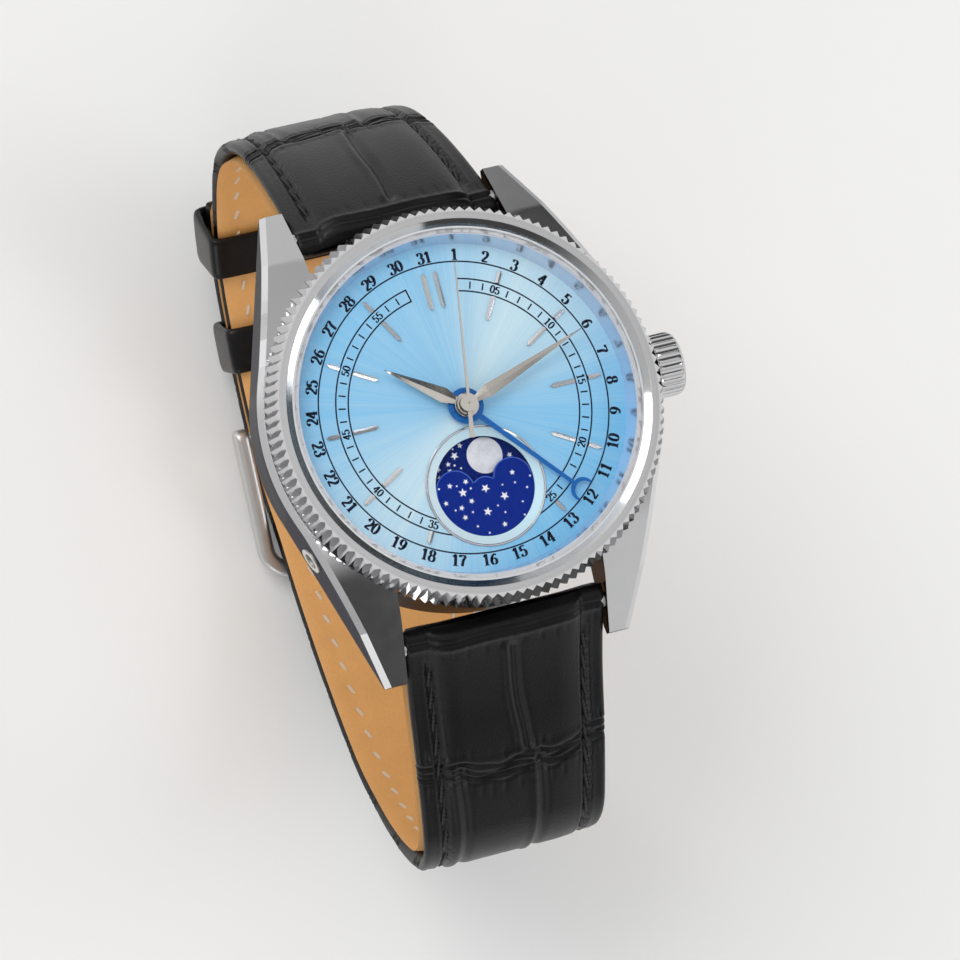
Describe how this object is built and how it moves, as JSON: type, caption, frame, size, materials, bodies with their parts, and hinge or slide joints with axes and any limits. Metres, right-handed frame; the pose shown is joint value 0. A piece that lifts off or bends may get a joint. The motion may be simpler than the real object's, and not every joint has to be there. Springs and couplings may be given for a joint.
{
  "type": "moon phase watch",
  "caption": "Round wristwatch with a fluted bezel, a light blue dial, a moon window, a blue date hand and a black leather strap buckled into a loop.",
  "frame": {"origin": "centre of the case back's flat outer face", "axes": "+Z out of the dial, +Y towards 12 o'clock, +X towards the crown at 3 o'clock"},
  "size_m": [0.0439, 0.0805, 0.0666],
  "materials": {
    "polished_steel": "polished with a brushed flank",
    "bezel_steel": "polished flutes round a brushed ring",
    "crystal_glass": "clear, polished",
    "clear_gasket": "translucent white nylon",
    "flange_steel": "polished",
    "back_steel": "brushed in circles",
    "back_glass": "clear, polished",
    "black_rubber": "matt",
    "holder_steel": "satin",
    "dial_blue": "sunburst brushed under lacquer",
    "marker_steel": "polished",
    "moon_plate_blue": "gloss, printed with stars",
    "moon_disc_blue": "gloss, printed with stars",
    "moon_pearl": "pearl",
    "hand_steel": "fine brushed",
    "date_blue": "gloss blue",
    "gear_brass": "circular grained",
    "gear_steel": "satin",
    "plate_nickel": "nickel plated, striped",
    "ruby": "polished synthetic ruby",
    "screw_steel": "polished heads",
    "spring_steel": "satin",
    "rotor_steel": "striped",
    "crown_steel": "polished",
    "black_leather": "gloss embossed scales, black stitching",
    "tan_lining": "smooth matt, pale stitching",
    "keeper_leather": "gloss",
    "bar_steel": "turned",
    "buckle_steel": "satin"
  },
  "bodies": {
    "case": {"mid_case": "polished_steel", "bezel": "bezel_steel", "crystal": "crystal_glass", "crystal_gasket": "clear_gasket", "flange_ring": "flange_steel", "case_back": "back_steel", "case_back_glass": "back_glass", "case_back_gasket": "black_rubber", "movement_holder": "holder_steel", "dial": "dial_blue", "moon_frame_ring": "marker_steel", "hour_markers": "marker_steel", "moon_plate": "moon_plate_blue", "main_plate": "plate_nickel", "barrel_bridge": "plate_nickel", "train_bridge": "plate_nickel", "pallet_bridge": "plate_nickel", "balance_cock": "plate_nickel", "jewels": "ruby", "bridge_screws": "screw_steel", "rotor_bearing": "gear_steel", "crown_tube": "gear_steel", "corrector_sleeve": "gear_steel", "strap_short_leather": "black_leather", "strap_short_lining": "tan_lining", "strap_long_leather": "black_leather", "strap_long_lining": "tan_lining", "spring_bars": "bar_steel", "fixed_keeper": "keeper_leather"},
    "seconds_train": {"fourth_wheel": "gear_brass", "seconds_hand": "hand_steel"},
    "minute_train": {"centre_wheel": "gear_brass", "cannon_pinion": "gear_steel", "minute_hand": "hand_steel"},
    "hour_train": {"hour_wheel": "gear_brass", "hour_hand": "hand_steel"},
    "minute_wheel": {"minute_wheel": "gear_brass"},
    "third_wheel": {"third_wheel": "gear_brass"},
    "escape_wheel": {"escape_wheel": "gear_steel"},
    "pallet_fork": {"pallet_fork": "gear_steel"},
    "balance": {"balance_wheel": "gear_brass", "hairspring": "spring_steel"},
    "date_train": {"date_wheel": "gear_brass", "date_hand": "date_blue"},
    "moon_disc": {"moon_disc": "moon_disc_blue", "moon_inlays": "moon_pearl"},
    "barrel": {"barrel_drum": "gear_brass"},
    "ratchet": {"ratchet_wheel": "gear_steel", "mainspring": "spring_steel"},
    "crown_wheel": {"crown_wheel": "gear_steel"},
    "winding_pinion": {"winding_pinion": "gear_steel"},
    "crown": {"crown": "crown_steel", "winding_stem": "gear_steel", "crown_gasket": "black_rubber"},
    "corrector": {"corrector_push": "crown_steel", "corrector_spring": "spring_steel"},
    "rotor": {"rotor": "rotor_steel"},
    "loose_keeper": {"loose_keeper": "keeper_leather"},
    "buckle": {"buckle_frame": "buckle_steel"},
    "tongue": {"buckle_tongue": "buckle_steel"}
  },
  "joints": [
    {"name": "seconds_turn", "type": "hinge", "parent": "case", "child": "seconds_train", "pos_m": [0, 0, 0.0126], "axis": [0, 0, -1], "continuous": true},
    {"name": "minute_turn", "type": "hinge", "parent": "case", "child": "minute_train", "pos_m": [0, 0, 0.0121], "axis": [0, 0, -1], "continuous": true},
    {"name": "hour_turn", "type": "hinge", "parent": "case", "child": "hour_train", "pos_m": [0, 0, 0.0116], "axis": [0, 0, -1], "continuous": true},
    {"name": "minute_wheel_turn", "type": "hinge", "parent": "case", "child": "minute_wheel", "pos_m": [-0.00282, 0.00103, 0.0083], "axis": [0, 0, -1], "continuous": true},
    {"name": "third_wheel_turn", "type": "hinge", "parent": "case", "child": "third_wheel", "pos_m": [-0.0047, -0.00171, 0.0055], "axis": [0, 0, -1], "continuous": true},
    {"name": "escape_wheel_turn", "type": "hinge", "parent": "case", "child": "escape_wheel", "pos_m": [-0.00138, -0.00517, 0.0051], "axis": [0, 0, -1], "continuous": true},
    {"name": "date_turn", "type": "hinge", "parent": "case", "child": "date_train", "pos_m": [0, 0, 0.0111], "axis": [0, 0, -1], "continuous": true},
    {"name": "moon_turn", "type": "hinge", "parent": "case", "child": "moon_disc", "pos_m": [0, -0.008, 0.0096], "axis": [0, 0, -1], "continuous": true},
    {"name": "barrel_turn", "type": "hinge", "parent": "case", "child": "barrel", "pos_m": [0.00405, 0.00483, 0.0056], "axis": [0, 0, -1], "continuous": true},
    {"name": "fork_swing", "type": "hinge", "parent": "case", "child": "pallet_fork", "pos_m": [0.00142, -0.00566, 0.0051], "axis": [0, 0, -1], "range_deg": [-4, 4]},
    {"name": "balance_swing", "type": "hinge", "parent": "case", "child": "balance", "pos_m": [0.00476, -0.00758, 0.0056], "axis": [0, 0, -1], "range_deg": [-40, 40], "stiffness_Nm_per_rad": 0.00000029, "deforming": ["hairspring"]},
    {"name": "crown_turn", "type": "hinge", "parent": "case", "child": "winding_pinion", "pos_m": [0, 0, 0.0063], "axis": [1, 0, 0], "continuous": true},
    {"name": "crown_pull", "type": "slide", "parent": "winding_pinion", "child": "crown", "axis": [1, 0, 0], "range_m": [0, 0.0012]},
    {"name": "crown_wheel_turn", "type": "hinge", "parent": "case", "child": "crown_wheel", "pos_m": [0.0086, 0, 0.005], "axis": [0, 0, 1], "continuous": true},
    {"name": "ratchet_turn", "type": "hinge", "parent": "case", "child": "ratchet", "pos_m": [0.00405, 0.00483, 0.005], "axis": [0, 0, 1], "continuous": true, "deforming": ["mainspring"]},
    {"name": "rotor_turn", "type": "hinge", "parent": "case", "child": "rotor", "pos_m": [0, 0, 0.0033], "axis": [0, 0, -1], "continuous": true},
    {"name": "corrector_press", "type": "slide", "parent": "case", "child": "corrector", "axis": [0.9409, 0.3387, 0], "range_m": [0, 0.0005], "stiffness_N_per_m": 300, "springref_m": -0.0003, "deforming": ["corrector_spring"]},
    {"name": "keeper_slide", "type": "hinge", "parent": "case", "child": "loose_keeper", "pos_m": [0, 0.01595, -0.02319], "axis": [1, 0, 0], "range_deg": [-6, 6]},
    {"name": "buckle_open", "type": "hinge", "parent": "case", "child": "buckle", "pos_m": [0, 0.00956, -0.04651], "axis": [1, 0, 0], "range_deg": [0, 6]},
    {"name": "tongue_lift", "type": "hinge", "parent": "buckle", "child": "tongue", "pos_m": [0, 0.00956, -0.04651], "axis": [1, 0, 0], "range_deg": [0, 8]}
  ],
  "couplings": [
    {"joint": "minute_turn", "follows": "seconds_turn", "ratio": 0.016667},
    {"joint": "hour_turn", "follows": "seconds_turn", "ratio": 0.0013889},
    {"joint": "minute_wheel_turn", "follows": "seconds_turn", "ratio": -0.0055556},
    {"joint": "third_wheel_turn", "follows": "seconds_turn", "ratio": -0.13333},
    {"joint": "escape_wheel_turn", "follows": "seconds_turn", "ratio": -12},
    {"joint": "date_turn", "follows": "seconds_turn", "ratio": 0.000022401},
    {"joint": "moon_turn", "follows": "seconds_turn", "ratio": 0.00001177},
    {"joint": "barrel_turn", "follows": "seconds_turn", "ratio": -0.002381},
    {"joint": "crown_wheel_turn", "follows": "crown_turn", "ratio": 0.5},
    {"joint": "ratchet_turn", "follows": "crown_turn", "ratio": -0.25}
  ]
}
